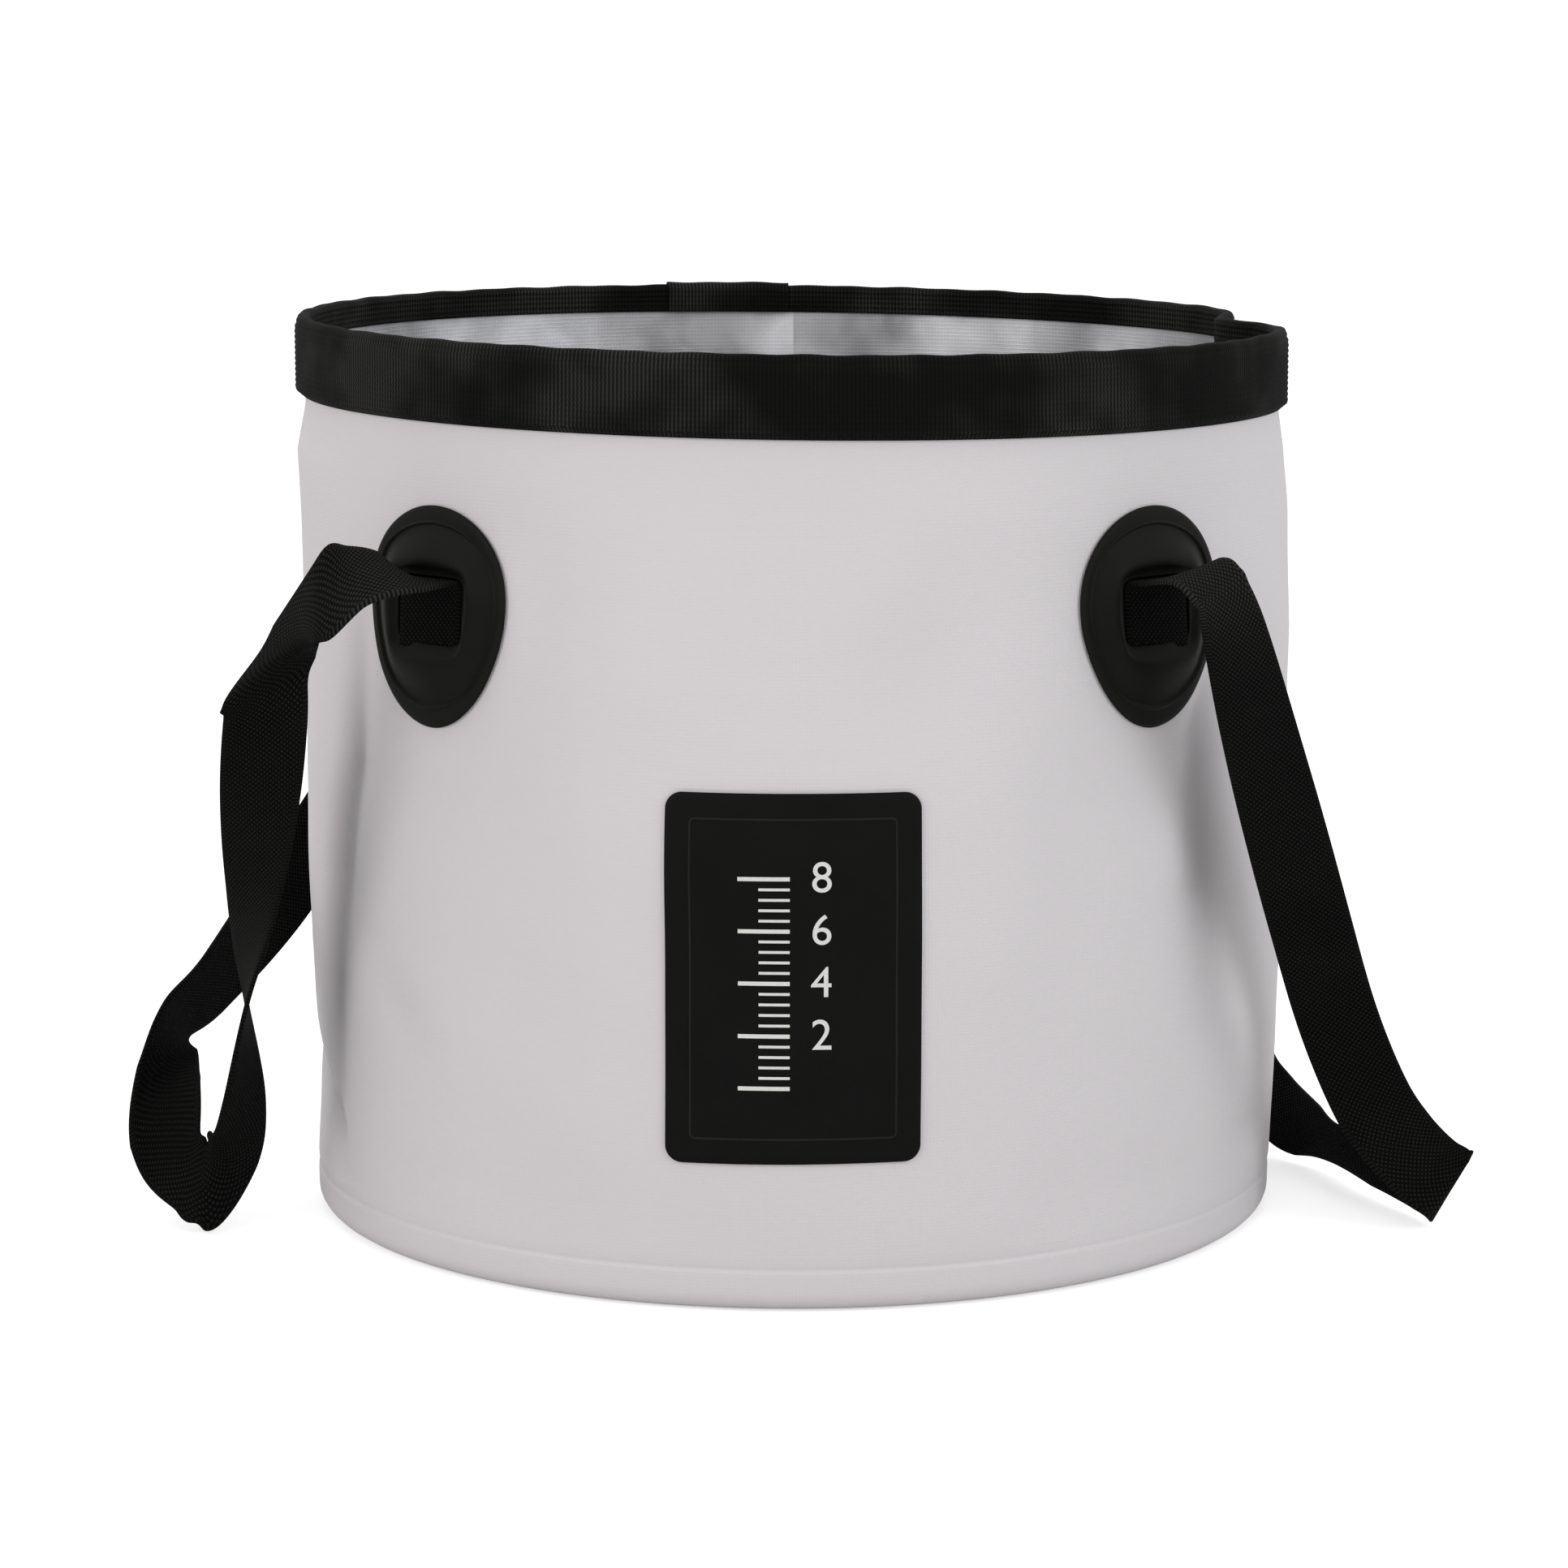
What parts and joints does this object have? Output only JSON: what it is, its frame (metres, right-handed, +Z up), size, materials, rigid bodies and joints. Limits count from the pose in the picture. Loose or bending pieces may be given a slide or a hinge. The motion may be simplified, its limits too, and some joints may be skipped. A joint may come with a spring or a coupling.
{
  "type": "collapsible camp bucket",
  "caption": "Soft-sided round camp bucket with a welded floor, a bound and stiffened rim, moulded strap patches, a front label panel and two hanging webbing carry loops.",
  "frame": {"origin": "on the ground under the bucket, at the bottom centre of the part's box, which is the bucket's axis to within 3 mm", "axes": "+Z up along the bucket's axis, +X to the right as seen from the label's side, front at -Y"},
  "size_m": [0.4188, 0.3066, 0.2821],
  "materials": {
    "wall_fabric": "smooth matt coated fabric",
    "floor_fabric": "matt coated fabric, the lining side",
    "label_rubber": "matt black soft rubber with a fine grain",
    "hem_webbing": "fine ribbed black binding tape",
    "moulded_rubber": "satin black moulded rubber",
    "stiff_plastic": "plain grey strip",
    "strap_webbing": "fine twill black webbing"
  },
  "bodies": {
    "bucket_base": {"wall_panel": "wall_fabric", "wall_lap": "wall_fabric", "floor_panel": "floor_fabric", "label_panel": "label_rubber"},
    "rim": {"rim_binding": "hem_webbing", "rim_binding_lap": "hem_webbing", "rim_stiffener_front": "stiff_plastic", "rim_stiffener_back": "stiff_plastic"},
    "strap_mounts": {"patch_front_left": "moulded_rubber", "patch_front_right": "moulded_rubber", "patch_back_left": "moulded_rubber", "patch_back_right": "moulded_rubber", "anchor_pad_front_left": "wall_fabric", "anchor_pad_front_right": "wall_fabric", "anchor_pad_back_left": "wall_fabric", "anchor_pad_back_right": "wall_fabric", "strap_end_front_left": "strap_webbing", "strap_end_front_right": "strap_webbing", "strap_end_back_left": "strap_webbing", "strap_end_back_right": "strap_webbing"},
    "left_handle": {"left_handle_loop": "strap_webbing"},
    "right_handle": {"right_handle_loop": "strap_webbing"}
  },
  "joints": [
    {"name": "rim_collapse", "type": "slide", "parent": "bucket_base", "child": "rim", "axis": [0, 0, 1], "range_m": [-0.172, 0], "deforming": ["wall_panel", "wall_lap", "label_panel"]},
    {"name": "patch_drop", "type": "slide", "parent": "bucket_base", "child": "strap_mounts", "axis": [0, 0, 1], "range_m": [-0.153, 0]},
    {"name": "left_handle_swing", "type": "hinge", "parent": "strap_mounts", "child": "left_handle", "pos_m": [-0.135, 0.001, 0.20826], "axis": [0, 1, 0], "range_deg": [0, 160], "deforming": ["strap_end_front_left", "strap_end_back_left"]},
    {"name": "right_handle_swing", "type": "hinge", "parent": "strap_mounts", "child": "right_handle", "pos_m": [0.1273, 0.0002, 0.20372], "axis": [0, -1, 0], "range_deg": [0, 155], "deforming": ["strap_end_front_right", "strap_end_back_right"]}
  ],
  "couplings": [
    {"joint": "patch_drop", "follows": "rim_collapse", "ratio": 0.888}
  ]
}
